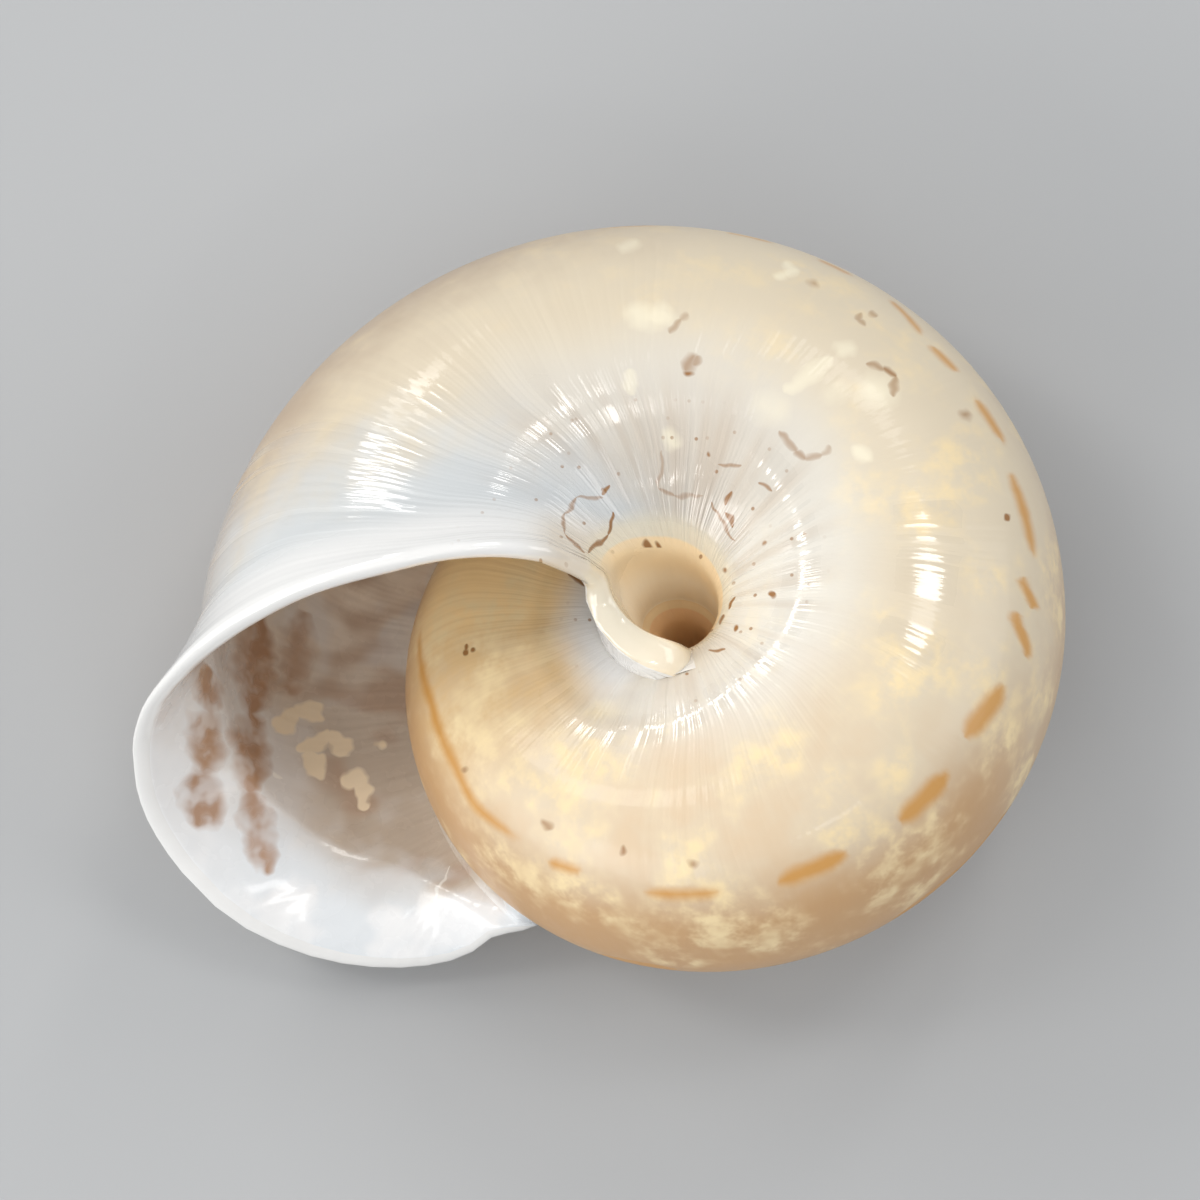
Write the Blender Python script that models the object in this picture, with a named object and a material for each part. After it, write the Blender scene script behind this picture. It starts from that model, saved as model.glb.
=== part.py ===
"""Dry shell of a land snail with a low spire and an open navel, lying spire down with its base up.

The shell is one grown piece: a tube that coils as it widens, glued along each turn to the turn before.
It is modelled as one closed mesh, row by row along its growth, in millimetres and in the shell's own axes:
the axis of coiling is Z, the tip of the spire is at the origin and the base points to +Z.
At the end it is laid down as it rests and scaled to metres.
"""

import bmesh
import bpy
import numpy as np

for old in list(bpy.data.objects):
    bpy.data.objects.remove(old, do_unlink=True)

# Size and coiling
LAST_RADIUS = 14.7  # from the axis to the side of the last turn, a little before the mouth
WIDENING = 1.656  # how much larger each turn is than the one before
TURNS = 4.6
MOUTH_TURN = np.radians(55.5)  # where the last turn's seam ends, past the place of LAST_RADIUS

# Section of the last turn, as distance from the axis and depth from the tip of the spire
CREST_RADIUS, CREST_DEPTH = 8.48, 2.30  # top of the whorl, on the spire's side
SIDE_DEPTH = 7.52  # the widest line round the whorl
BASE_RADIUS, BASE_DEPTH = 7.05, 14.94  # highest ring of the base
SHOULDER_FULLNESS, BASE_FULLNESS = 2.28, 2.45  # 2 would be an ellipse
SEAM_ANGLE = np.radians(60)  # how far round the shoulder the next turn is attached
FUNNEL = ((5.30, 14.72), (3.90, 14.18), (2.85, 13.45))  # slope from the base into the navel
NAVEL_SEAT = (2.15, 12.72)  # where the next turn's inner wall stands
NAVEL_WALL = ((1.74, 12.08), (1.50, 11.60), (1.42, 11.22), (1.38, 10.50), (1.35, 9.30))

# Wall
WALL = 0.42
COLUMN_EXTRA = 0.75  # more wall next to the navel
SEAM_FOOT = 0.75  # width of the glued strip at the seam
NAVEL_FOOT = 2.0  # width of the glued strip at the navel
HOLLOW_TURNS = 1.5  # the tube is open this far in, and filled beyond

# Widening of the navel over the last quarter turn
NAVEL_SPREAD = 0.52
SPREAD_FROM, SPREAD_OVER = -75.0, 80.0

# Mesh: rows in a turn, columns from the seam round to the navel, rows of the lip
ROWS_PER_TURN = 40
SHOULDER_STEPS, OUTER_STEPS, NAVEL_STEPS, INNER_STEPS = 5, 12, 7, 16
LIP_ROWS = 4
SLANT_ROWS = 24  # rows over which the growth lines turn to the slant of the lip
RELAX_ROWS = 15

# How the shell lies: it leans towards this azimuth by this angle, on a small worn flat
LEAN_TOWARDS = np.radians(116.0)
LEAN = np.radians(13.4)
WORN = 0.10

TURN = 2 * np.pi


def smooth_step(x):
    x = np.clip(x, 0, 1)
    return x * x * (3 - 2 * x)


def through(x, table):
    """Value at x of a smooth curve through the points of table that never overshoots them."""
    xs, ys = np.array(table, float).T
    steps = np.diff(xs)
    slopes = np.diff(ys) / steps
    bends = np.zeros(len(xs))
    for i in range(1, len(xs) - 1):
        if slopes[i - 1] * slopes[i] > 0:
            bends[i] = 2 / (1 / slopes[i - 1] + 1 / slopes[i])
    bends[0], bends[-1] = slopes[0], slopes[-1]
    x = np.clip(x, xs[0], xs[-1])
    i = np.clip(np.searchsorted(xs, x) - 1, 0, len(steps) - 1)
    t = (x - xs[i]) / steps[i]
    start = (1 + 2 * t) * (1 - t) ** 2 * ys[i] + t * (1 - t) ** 2 * steps[i] * bends[i]
    end = t * t * (3 - 2 * t) * ys[i + 1] + t * t * (t - 1) * steps[i] * bends[i + 1]
    return start + end


def spline(points, steps):
    """Points of a curve that passes through all the given ones."""
    points = np.asarray(points, float)
    ends = np.vstack([2 * points[0] - points[1], points, 2 * points[-1] - points[-2]])
    u = np.linspace(0, 1, steps, endpoint=False)[:, None]
    spans = []
    for p0, p1, p2, p3 in zip(ends, ends[1:], ends[2:], ends[3:]):
        cubic = 3 * p1 - 3 * p2 + p3 - p0
        square = 2 * p0 - 5 * p1 + 4 * p2 - p3
        spans.append(0.5 * (2 * p1 + (p2 - p0) * u + square * u**2 + cubic * u**3))
    return np.vstack([*spans, points[-1:]])


# The section, from the seam on the spire's side round to the wall of the navel

angles = np.linspace(0, np.pi / 2, 300)


def shoulder_at(angle):
    across = np.sin(angle) ** (2 / SHOULDER_FULLNESS)
    down = np.cos(angle) ** (2 / SHOULDER_FULLNESS)
    radius = CREST_RADIUS + (LAST_RADIUS - CREST_RADIUS) * across
    return np.stack([radius, SIDE_DEPTH - (SIDE_DEPTH - CREST_DEPTH) * down], -1)


def base_at(angle):
    across = np.cos(angle) ** (2 / BASE_FULLNESS)
    down = np.sin(angle) ** (2 / BASE_FULLNESS)
    radius = BASE_RADIUS + (LAST_RADIUS - BASE_RADIUS) * across
    return np.stack([radius, SIDE_DEPTH + (BASE_DEPTH - SIDE_DEPTH) * down], -1)


crest = np.array([CREST_RADIUS, CREST_DEPTH])
seam_seat = shoulder_at(SEAM_ANGLE)
seam = seam_seat / WIDENING
navel_seat = np.array(NAVEL_SEAT)
rise = np.linspace(0, 1, 60, endpoint=False)
from_seam = seam + (crest - seam) * np.stack([rise, 1 - (1 - rise) ** 2], -1)
base = base_at(angles)
into_navel = spline([base[-20], base[-1], *FUNNEL, navel_seat, *NAVEL_WALL, navel_seat / WIDENING], 60)[60:]
section = np.vstack([from_seam, shoulder_at(angles), base[1:-1], into_navel])
section_length = np.r_[0, np.cumsum(np.linalg.norm(np.diff(section, axis=0), axis=1))]


def length_at(point):
    return section_length[np.argmin(((section - point) ** 2).sum(1))]


SEAM_SEAT = length_at(seam_seat)
NAVEL_AT = length_at(navel_seat)
RIM = NAVEL_AT + 0.9  # edge of the navel's hole
END = section_length[-1]

# The lip, in places along the section. Its edge slants: degrees past the place of LAST_RADIUS
LIP_EDGE = (
    (0, 55.5), (0.4, 54.7), (0.8, 52.6), (1.15, 50.0), (1.7, 46.6), (2.4, 42.8), (3.3, 38.6),
    (4.6, 32.6), (5.5, 28.6), (6.3, 25.2), (7.0, 22.0), (7.7, 18.8), (8.6, 15.6), (9.6, 13.0),
    (11, 10.8), (13, 9.6), (15, 9.0), (17, 8.3), (19, 7.5), (21, 7.2), (23, 6.2), (24.3, 6.6),
    (25.4, 7.6), (26.6, 8.4), (RIM - 0.4, 6.5), (RIM, 6.0), (RIM + 0.9, 14), (RIM + 1.9, 45),
    (RIM + 2.9, 76), (END, 100),
)
# How far the edge is turned outwards, over what length, and how thick it is
LIP_FLARE = (
    (0, 0), (0.5, 0.08), (1.0, 0.2), (1.5, 0.36), (1.75, 0.8), (2.05, 1.45), (2.5, 1.82), (3.2, 2.05),
    (5, 2.3), (8.5, 2.4), (10, 2.25), (12, 1.75), (14, 1.1), (16, 0.8), (18, 0.68), (24, 0.62), (26, 0.5),
    (RIM, 0.15), (RIM + 1, 0), (END, 0),
)
LIP_REACH = (
    (0, 0), (1.2, 1.2), (3, 2.6), (9, 2.8), (14, 2.6), (20, 2.4), (26, 2.0), (RIM, 1.0),
    (RIM + 1.5, 0.5), (END, 0),
)
LIP_THICKNESS = (
    (0, 0.03), (0.5, 0.2), (1, 0.42), (2, 0.5), (9, 0.55), (13, 0.7), (17, 0.85), (25, 0.85),
    (RIM - 0.8, 0.78), (RIM, 0.72), (RIM + 1.5, 0.85), (RIM + 3, 1.1), (END, 1.2),
)


def size_at(turn):
    return WIDENING ** (turn / TURN)


def in_section(turn, place, size=1.0):
    """Radius and depth of the outer surface, at angles and places along the section."""
    spread = NAVEL_SPREAD * smooth_step((np.degrees(turn) - SPREAD_FROM) / SPREAD_OVER)
    spread = spread * smooth_step((place - NAVEL_AT + 2.5) / 3.2) * smooth_step((END - place) / 3.4)
    radius = np.interp(place, section_length, section[:, 0])
    depth = np.interp(place, section_length, section[:, 1])
    scale = size_at(turn) * size
    return np.stack([scale * radius + spread, scale * depth], -1)


def outward(turn, place):
    """Direction out of the surface, in the plane of the section."""
    before = in_section(turn, np.clip(place - 0.12, 0, END))
    after = in_section(turn, np.clip(place + 0.12, 0, END))
    along = (after - before) / np.linalg.norm(after - before, axis=1)[:, None]
    return np.stack([along[:, 1], -along[:, 0]], -1)


def in_space(turn, points):
    """Turns radius and depth into x, y, z. The place of LAST_RADIUS is on -X."""
    return np.stack([-points[:, 0] * np.cos(turn), -points[:, 0] * np.sin(turn), points[:, 1]], -1)


def wall_at(place):
    return WALL + COLUMN_EXTRA * smooth_step((place - END + 4.2) / 3.6)


def lip_turn(place):
    return np.radians(through(place, LIP_EDGE))


def lip_start(place):
    """Where along the growth the flare of the lip begins."""
    radius = in_section(lip_turn(place), place)[:, 0]
    return lip_turn(place) - through(place, LIP_REACH) / radius


# Rows and columns

LAST_ROW = round(TURNS * ROWS_PER_TURN)
ROW_STEP = TURN / ROWS_PER_TURN
FIRST_HOLLOW_ROW = LAST_ROW - round(HOLLOW_TURNS * ROWS_PER_TURN)
columns = np.r_[
    SEAM_SEAT * np.linspace(0, 1, SHOULDER_STEPS + 1) ** 1.5,
    np.linspace(SEAM_SEAT + SEAM_FOOT, NAVEL_AT - NAVEL_FOOT, OUTER_STEPS + 1),
    np.linspace(NAVEL_AT, END, NAVEL_STEPS + 1),
]
ON_SEAM = SHOULDER_STEPS
PAST_SEAM = ON_SEAM + 1
BEFORE_NAVEL = PAST_SEAM + OUTER_STEPS
ON_NAVEL = BEFORE_NAVEL + 1
LAST_COLUMN = len(columns) - 1
inner_columns = np.r_[0, np.linspace(1.1, END - 1.2, INNER_STEPS - 1), END]


def slant_of(row):
    """0 on straight rows, 1 on the row where the lip begins."""
    return smooth_step(1 - (LAST_ROW - row) / SLANT_ROWS)


def row_turns(row, place):
    """Angles of a row. A row under the seam of the next turn follows that turn's slanted rows."""
    slanted = slant_of(row) * (lip_start(place) - MOUTH_TURN)
    if row <= LAST_ROW - ROWS_PER_TURN:
        carried = slant_of(row + ROWS_PER_TURN)
    else:
        carried = smooth_step(1 - (row - LAST_ROW + ROWS_PER_TURN) / RELAX_ROWS)
    rising = smooth_step((place - SEAM_SEAT - 1) / (NAVEL_AT - NAVEL_FOOT - SEAM_SEAT - 1))
    falling = smooth_step((END - place) / (END - NAVEL_AT))
    reach = np.where(place <= NAVEL_AT, rising, falling)
    lift = np.radians(LIP_EDGE[-1][1]) - MOUTH_TURN
    return MOUTH_TURN - (LAST_ROW - row) * ROW_STEP + slanted + carried * reach * lift


points = []
faces = []
outer = {}
inner = {}


def add(point):
    points.append(np.asarray(point, float))
    return len(points) - 1


def join(first, second, first_at=None, second_at=None):
    """Faces between two rows of points, which need not hold as many points each."""
    if len(first) == len(second):
        for a, b, c, d in zip(first, second, second[1:], first[1:]):
            faces.append((a, b, c, d))
        return
    first_at = np.linspace(0, 1, len(first)) if first_at is None else first_at
    second_at = np.linspace(0, 1, len(second)) if second_at is None else second_at
    i = j = 0
    while i < len(first) - 1 or j < len(second) - 1:
        done = j == len(second) - 1
        if done or (i < len(first) - 1 and first_at[i + 1] <= second_at[j + 1] + 1e-9):
            faces.append((first[i], second[j], first[i + 1]))
            i += 1
        else:
            faces.append((first[i], second[j], second[j + 1]))
            j += 1


def outer_row(row, start=0, stop=LAST_COLUMN):
    return [outer[row, column] for column in range(start, stop + 1)]


def inner_row(row):
    return [inner[row, column] for column in range(INNER_STEPS + 1)]


# Outer surface. Each turn shares its two edges with the turn before, and the first turn closes on the axis

tip = add((0, 0, 0.08))
foot = add((0, 0, 1.7))
near_seam = np.clip(1 - columns / 6, 0, 1)[:, None] ** 2
near_navel = np.clip(1 - (END - columns) / 6, 0, 1)[:, None] ** 2
for row in range(LAST_ROW + 1):
    turns = row_turns(row, columns)
    bulb = 0.3 + 0.7 * smooth_step(row / (0.7 * ROWS_PER_TURN))
    places = in_space(turns, in_section(turns, columns, bulb))
    under = row - ROWS_PER_TURN
    seam_point = outer[under, ON_SEAM] if under >= 0 else tip
    navel_point = outer[under, ON_NAVEL] if under >= 0 else foot
    seam_gap = points[seam_point] - places[0]
    navel_gap = points[navel_point] - places[-1]
    places = places + seam_gap * near_seam + navel_gap * near_navel
    outer[row, 0] = seam_point
    for column in range(1, LAST_COLUMN):
        outer[row, column] = add(places[column])
    outer[row, LAST_COLUMN] = navel_point

for row in range(LAST_ROW):
    covered = row + 1 + ROWS_PER_TURN <= LAST_ROW
    bands = [(0, ON_SEAM), (ON_NAVEL, LAST_COLUMN)] if covered else [(0, LAST_COLUMN)]
    if covered and row + ROWS_PER_TURN >= FIRST_HOLLOW_ROW:
        bands.append((PAST_SEAM, BEFORE_NAVEL))
    for start, stop in bands:
        join(outer_row(row, start, stop), outer_row(row + 1, start, stop))
faces.append((tip, *[outer[0, column] for column in range(1, ON_SEAM + 1)]))
faces.append((foot, *[outer[0, column] for column in range(LAST_COLUMN - 1, ON_NAVEL - 1, -1)]))

# Inner surface of the open part of the tube

for row in range(FIRST_HOLLOW_ROW, LAST_ROW + 1):
    turns = row_turns(row, inner_columns)
    depth = (wall_at(inner_columns) * size_at(turns))[:, None]
    places = in_section(turns, inner_columns) - outward(turns, inner_columns) * depth
    places = in_space(turns, places)
    inner[row, 0] = outer[row - ROWS_PER_TURN, PAST_SEAM]
    for column in range(1, INNER_STEPS):
        inner[row, column] = add(places[column])
    inner[row, INNER_STEPS] = outer[row - ROWS_PER_TURN, BEFORE_NAVEL]
for row in range(LAST_ROW, FIRST_HOLLOW_ROW, -1):
    join(inner_row(row), inner_row(row - 1))
join(
    inner_row(FIRST_HOLLOW_ROW),
    outer_row(FIRST_HOLLOW_ROW - ROWS_PER_TURN, PAST_SEAM, BEFORE_NAVEL),
)

# Lip: both surfaces turn outwards and meet in a rounded edge


def lip_row(part, place, inside):
    """A row of the lip, part of the way from its start to its edge."""
    turns = lip_turn(place) - (1 - part) * (lip_turn(place) - lip_start(place))
    wall = wall_at(place) * size_at(turns) * (1 - part) + through(place, LIP_THICKNESS) * part
    shift = through(place, LIP_FLARE) * part**1.7 - wall * inside
    return in_space(turns, in_section(turns, place) + outward(turns, place) * shift[:, None])


def with_ends(row, places):
    """Point numbers of a new row between the ends of an earlier one."""
    return [row[0], *[add(place) for place in places[1:-1]], row[-1]]


outer_lip = [outer_row(LAST_ROW)]
inner_lip = [inner_row(LAST_ROW)]
for step in range(1, LIP_ROWS + 1):
    outer_lip.append(with_ends(outer_lip[0], lip_row(step / LIP_ROWS, columns, 0)))
    inner_lip.append(with_ends(inner_lip[0], lip_row(step / LIP_ROWS, inner_columns, 1)))
for first, second in zip(outer_lip, outer_lip[1:]):
    join(first, second)
for first, second in zip(inner_lip[::-1], inner_lip[-2::-1]):
    join(first, second)

edge_turns = lip_turn(columns)
thickness = through(columns, LIP_THICKNESS)
shift = through(columns, LIP_FLARE) - thickness / 2
ahead = thickness / 2 * np.clip(np.minimum(columns, END - columns) / 1.5, 0, 1)
edge = in_section(edge_turns, columns) + outward(edge_turns, columns) * shift[:, None]
growing = np.stack([np.sin(edge_turns), -np.cos(edge_turns), 0 * edge_turns], -1)
middle = with_ends(outer_lip[0], in_space(edge_turns, edge) + growing * ahead[:, None])
join(outer_lip[-1], middle)
join(middle, inner_lip[-1], columns / END, inner_columns / END)

# Laid down on its spire, with the worn spot flat on the ground and the middle of its outline over the origin

lean_axis = np.array([-np.sin(LEAN_TOWARDS), np.cos(LEAN_TOWARDS), 0])
across = np.array(
    [
        [0, -lean_axis[2], lean_axis[1]],
        [lean_axis[2], 0, -lean_axis[0]],
        [-lean_axis[1], lean_axis[0], 0],
    ]
)
leaning = np.eye(3) + np.sin(LEAN) * across + (1 - np.cos(LEAN)) * across @ across
laid = np.array(points) @ leaning.T
laid[:, 2] -= laid[:, 2].min() + WORN
laid[:, 2] = np.maximum(laid[:, 2], 0)
laid[:, :2] -= (laid[:, :2].min(0) + laid[:, :2].max(0)) / 2

# The solid and its material

mesh = bpy.data.meshes.new("shell")
whole = [tuple(dict.fromkeys(face)) for face in faces]
mesh.from_pydata((laid * 0.001).tolist(), [], whole)
solid = bmesh.new()
solid.from_mesh(mesh)
bmesh.ops.triangulate(solid, faces=solid.faces)
bmesh.ops.recalc_face_normals(solid, faces=solid.faces)
solid.to_mesh(mesh)
solid.free()
mesh.polygons.foreach_set("use_smooth", [True] * len(mesh.polygons))

finish = bpy.data.materials.new("glossy ivory shell")
finish.use_nodes = True
surface = finish.node_tree.nodes["Principled BSDF"]
surface.inputs["Base Color"].default_value = (0.78, 0.69, 0.55, 1)
surface.inputs["Roughness"].default_value = 0.22
mesh.materials.append(finish)

shell = bpy.data.objects.new("shell", mesh)
bpy.context.scene.collection.objects.link(shell)
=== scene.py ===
"""Dry shell of a land snail, lying on its spire with its base, open navel and mouth facing up.

Lengths in the sections on the shell are millimetres, in the shell's own axes: the axis of coiling is Z,
the tip of the spire is at the origin and the base points to +Z. The finished mesh is in metres, laid down
as it rests.
"""

import bmesh
import bpy
import numpy as np
from mathutils import Matrix, Vector


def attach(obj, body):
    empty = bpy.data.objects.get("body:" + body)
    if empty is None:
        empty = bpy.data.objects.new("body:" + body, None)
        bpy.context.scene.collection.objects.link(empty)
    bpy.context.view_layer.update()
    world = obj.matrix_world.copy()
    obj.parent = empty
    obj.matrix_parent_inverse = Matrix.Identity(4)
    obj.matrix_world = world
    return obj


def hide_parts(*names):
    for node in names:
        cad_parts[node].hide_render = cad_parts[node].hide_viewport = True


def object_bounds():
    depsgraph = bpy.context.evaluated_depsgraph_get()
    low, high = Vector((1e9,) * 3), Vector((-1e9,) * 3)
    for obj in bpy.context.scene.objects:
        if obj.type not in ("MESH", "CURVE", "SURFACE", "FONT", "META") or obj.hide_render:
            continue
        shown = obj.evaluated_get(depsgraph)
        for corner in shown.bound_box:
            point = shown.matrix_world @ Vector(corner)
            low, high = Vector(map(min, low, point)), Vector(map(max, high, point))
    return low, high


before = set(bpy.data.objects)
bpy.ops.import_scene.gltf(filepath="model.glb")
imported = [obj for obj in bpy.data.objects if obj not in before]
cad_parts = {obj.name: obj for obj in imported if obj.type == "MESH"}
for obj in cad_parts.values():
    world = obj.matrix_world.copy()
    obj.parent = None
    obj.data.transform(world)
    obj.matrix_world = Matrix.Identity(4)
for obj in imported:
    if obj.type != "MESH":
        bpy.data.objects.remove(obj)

cad_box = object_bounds()


# The coiled tube
# A snail's shell is one tube of chalky layers under a thin glossy skin. It grows only at its mouth, round a
# fixed axis, and each turn is glued to the one before, so all turns follow one section that widens steadily.

TURN = 2 * np.pi
LAST_RADIUS = 14.7  # from the axis to the side of the last turn, a little before the mouth
WIDENING = 1.656  # how much larger each turn is than the one before
TURNS = 4.6
MOUTH_TURN = np.radians(55.5)  # where the last turn's seam ends, past the place of LAST_RADIUS

CREST_RADIUS, CREST_DEPTH = 8.48, 2.30  # top of the whorl, on the spire's side
SIDE_DEPTH = 7.52  # the widest line round the whorl
BASE_RADIUS, BASE_DEPTH = 7.05, 14.94  # highest ring of the base
SHOULDER_FULLNESS, BASE_FULLNESS = 2.28, 2.45  # 2 would be an ellipse
SEAM_ANGLE = np.radians(60)  # how far round the shoulder the next turn is attached
FUNNEL = ((5.30, 14.72), (3.90, 14.18), (2.85, 13.45))  # slope from the base into the navel
NAVEL_SEAT = (2.15, 12.72)  # where the next turn's inner wall stands
NAVEL_WALL = ((1.74, 12.08), (1.50, 11.60), (1.42, 11.22), (1.38, 10.50), (1.35, 9.30))

WALL = 0.42
COLUMN_EXTRA = 0.75  # more wall next to the navel
SEAM_FOOT = 0.75  # width of the glued strip at the seam
NAVEL_FOOT = 2.0  # width of the glued strip at the navel
HOLLOW_TURNS = 1.5  # the tube is open this far in, and filled beyond

NAVEL_SPREAD = 0.52  # widening of the navel over the last quarter turn
SPREAD_FROM, SPREAD_OVER = -75.0, 80.0


def smooth_step(x):
    x = np.clip(x, 0, 1)
    return x * x * (3 - 2 * x)


def through(x, table):
    """Value at x of a smooth curve through the points of table that never overshoots them."""
    xs, ys = np.array(table, float).T
    steps = np.diff(xs)
    slopes = np.diff(ys) / steps
    bends = np.zeros(len(xs))
    for i in range(1, len(xs) - 1):
        if slopes[i - 1] * slopes[i] > 0:
            bends[i] = 2 / (1 / slopes[i - 1] + 1 / slopes[i])
    bends[0], bends[-1] = slopes[0], slopes[-1]
    x = np.clip(x, xs[0], xs[-1])
    i = np.clip(np.searchsorted(xs, x) - 1, 0, len(steps) - 1)
    t = (x - xs[i]) / steps[i]
    start = (1 + 2 * t) * (1 - t) ** 2 * ys[i] + t * (1 - t) ** 2 * steps[i] * bends[i]
    end = t * t * (3 - 2 * t) * ys[i + 1] + t * t * (t - 1) * steps[i] * bends[i + 1]
    return start + end


def spline(points, steps):
    """Points of a curve that passes through all the given ones."""
    points = np.asarray(points, float)
    ends = np.vstack([2 * points[0] - points[1], points, 2 * points[-1] - points[-2]])
    u = np.linspace(0, 1, steps, endpoint=False)[:, None]
    spans = []
    for p0, p1, p2, p3 in zip(ends, ends[1:], ends[2:], ends[3:]):
        cubic = 3 * p1 - 3 * p2 + p3 - p0
        square = 2 * p0 - 5 * p1 + 4 * p2 - p3
        spans.append(0.5 * (2 * p1 + (p2 - p0) * u + square * u**2 + cubic * u**3))
    return np.vstack([*spans, points[-1:]])


def shoulder_at(angle):
    across = np.sin(angle) ** (2 / SHOULDER_FULLNESS)
    down = np.cos(angle) ** (2 / SHOULDER_FULLNESS)
    radius = CREST_RADIUS + (LAST_RADIUS - CREST_RADIUS) * across
    return np.stack([radius, SIDE_DEPTH - (SIDE_DEPTH - CREST_DEPTH) * down], -1)


def base_at(angle):
    across = np.cos(angle) ** (2 / BASE_FULLNESS)
    down = np.sin(angle) ** (2 / BASE_FULLNESS)
    radius = BASE_RADIUS + (LAST_RADIUS - BASE_RADIUS) * across
    return np.stack([radius, SIDE_DEPTH + (BASE_DEPTH - SIDE_DEPTH) * down], -1)


angles = np.linspace(0, np.pi / 2, 300)
crest = np.array([CREST_RADIUS, CREST_DEPTH])
seam_seat = shoulder_at(SEAM_ANGLE)
seam = seam_seat / WIDENING
navel_seat = np.array(NAVEL_SEAT)
rise = np.linspace(0, 1, 60, endpoint=False)
from_seam = seam + (crest - seam) * np.stack([rise, 1 - (1 - rise) ** 2], -1)
base = base_at(angles)
into_navel = spline([base[-20], base[-1], *FUNNEL, navel_seat, *NAVEL_WALL, navel_seat / WIDENING], 60)[60:]
section = np.vstack([from_seam, shoulder_at(angles), base[1:-1], into_navel])
section_length = np.r_[0, np.cumsum(np.linalg.norm(np.diff(section, axis=0), axis=1))]


def length_at(point):
    return section_length[np.argmin(((section - point) ** 2).sum(1))]


SEAM_SEAT = length_at(seam_seat)
NAVEL_AT = length_at(navel_seat)
RIM = NAVEL_AT + 0.9  # edge of the navel's hole
END = section_length[-1]


def size_at(turn):
    return WIDENING ** (turn / TURN)


def in_section(turn, place, size=1.0):
    """Radius and depth of the outer surface, at angles and places along the section."""
    spread = NAVEL_SPREAD * smooth_step((np.degrees(turn) - SPREAD_FROM) / SPREAD_OVER)
    spread = spread * smooth_step((place - NAVEL_AT + 2.5) / 3.2) * smooth_step((END - place) / 3.4)
    radius = np.interp(place, section_length, section[:, 0])
    depth = np.interp(place, section_length, section[:, 1])
    scale = size_at(turn) * size
    return np.stack([scale * radius + spread, scale * depth], -1)


def outward(turn, place):
    """Direction out of the surface, in the plane of the section."""
    before = in_section(turn, np.clip(place - 0.12, 0, END))
    after = in_section(turn, np.clip(place + 0.12, 0, END))
    along = (after - before) / np.linalg.norm(after - before, axis=1)[:, None]
    return np.stack([along[:, 1], -along[:, 0]], -1)


def in_space(turn, points):
    """Turns radius and depth into x, y, z. The place of LAST_RADIUS is on -X."""
    return np.stack([-points[:, 0] * np.cos(turn), -points[:, 0] * np.sin(turn), points[:, 1]], -1)


def wall_at(place):
    return WALL + COLUMN_EXTRA * smooth_step((place - END + 4.2) / 3.6)


# The lip
# An adult snail ends its shell with a turned-out lip, thickened with porcelain-white layers from inside. Its
# edge slants, free from the seam round to the navel, where it folds back over the column.

LIP_EDGE = (  # places along the section, and degrees past the place of LAST_RADIUS
    (0, 55.5), (0.4, 54.7), (0.8, 52.6), (1.15, 50.0), (1.7, 46.6), (2.4, 42.8), (3.3, 38.6),
    (4.6, 32.6), (5.5, 28.6), (6.3, 25.2), (7.0, 22.0), (7.7, 18.8), (8.6, 15.6), (9.6, 13.0),
    (11, 10.8), (13, 9.6), (15, 9.0), (17, 8.3), (19, 7.5), (21, 7.2), (23, 6.2), (24.3, 6.6),
    (25.4, 7.6), (26.6, 8.4), (RIM - 0.4, 6.5), (RIM, 6.0), (RIM + 0.9, 14), (RIM + 1.9, 45),
    (RIM + 2.9, 76), (END, 100),
)
LIP_FLARE = (  # how far the edge is turned outwards
    (0, 0), (0.5, 0.08), (1.0, 0.2), (1.5, 0.36), (1.75, 0.8), (2.05, 1.45), (2.5, 1.82), (3.2, 2.05),
    (5, 2.3), (8.5, 2.4), (10, 2.25), (12, 1.75), (14, 1.1), (16, 0.8), (18, 0.68), (24, 0.62), (26, 0.5),
    (RIM, 0.15), (RIM + 1, 0), (END, 0),
)
LIP_REACH = (  # over what length it turns
    (0, 0), (1.2, 1.2), (3, 2.6), (9, 2.8), (14, 2.6), (20, 2.4), (26, 2.0), (RIM, 1.0),
    (RIM + 1.5, 0.5), (END, 0),
)
LIP_THICKNESS = (
    (0, 0.03), (0.5, 0.2), (1, 0.42), (2, 0.5), (9, 0.55), (13, 0.7), (17, 0.85), (25, 0.85),
    (RIM - 0.8, 0.78), (RIM, 0.72), (RIM + 1.5, 0.85), (RIM + 3, 1.1), (END, 1.2),
)


def lip_turn(place):
    return np.radians(through(place, LIP_EDGE))


def lip_start(place):
    """Where along the growth the flare of the lip begins."""
    radius = in_section(lip_turn(place), place)[:, 0]
    return lip_turn(place) - through(place, LIP_REACH) / radius


# The shell's mesh
# Rows follow the growth lines, which slant more and more towards the lip, and columns run along the spiral.
# Each turn shares the points of its two edges with the turn before it, so the shell is one closed surface.

ROWS_PER_TURN = 128
SHOULDER_STEPS, OUTER_STEPS, NAVEL_STEPS, INNER_STEPS = 16, 46, 26, 64
LIP_ROWS, EDGE_ROWS = 12, 7
SLANT_ROWS = 77  # rows over which the growth lines turn to the slant of the lip
RELAX_ROWS = 48
LAST_ROW = round(TURNS * ROWS_PER_TURN)
ROW_STEP = TURN / ROWS_PER_TURN
FIRST_HOLLOW_ROW = LAST_ROW - round(HOLLOW_TURNS * ROWS_PER_TURN)

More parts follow.
